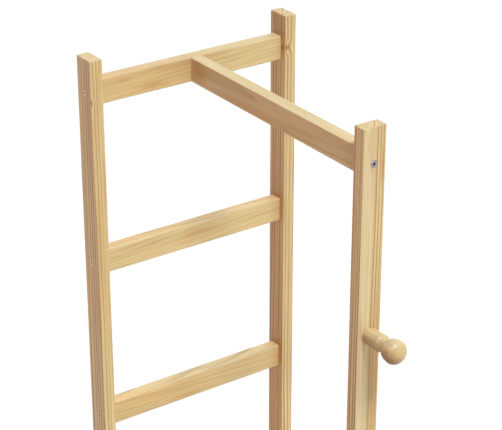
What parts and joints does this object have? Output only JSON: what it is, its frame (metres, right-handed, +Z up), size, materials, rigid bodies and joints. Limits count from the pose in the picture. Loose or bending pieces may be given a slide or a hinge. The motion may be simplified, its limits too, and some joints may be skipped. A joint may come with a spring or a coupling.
{
  "type": "free-standing wooden clothes rack",
  "caption": "Pine clothes rack: a ladder side frame joined by a top and a bottom rail to one front post with a turned coat peg.",
  "frame": {"origin": "on the floor, under the centre of the rack's bounding box", "axes": "+X from the ladder frame along the rails to the front post and its peg, +Y across the ladder along the rungs, +Z up"},
  "size_m": [0.623, 0.43, 1.5],
  "materials": {
    "pine": "clear satin lacquer on planed pine",
    "turned_wood": "clear satin lacquer on turned pine",
    "dowel_wood": "raw beech",
    "screw_steel": "bright zinc plating",
    "nail_steel": "bright steel",
    "glide_plastic": "matt moulded nylon"
  },
  "bodies": {
    "root": {"left_post": "pine", "right_post": "pine", "front_post": "pine", "rung_1": "pine", "rung_2": "pine", "rung_3": "pine", "rung_4": "pine", "rung_5": "pine", "top_rail": "pine", "bottom_rail": "pine", "coat_peg": "turned_wood", "peg_screw": "screw_steel", "left_rung_screws": "screw_steel", "right_rung_screws": "screw_steel", "rear_rail_screws": "screw_steel", "front_rail_screws": "screw_steel", "left_rung_dowels": "dowel_wood", "right_rung_dowels": "dowel_wood", "rear_rail_dowels": "dowel_wood", "front_rail_dowels": "dowel_wood", "glide_pads": "glide_plastic", "glide_nails": "nail_steel"}
  },
  "joints": []
}
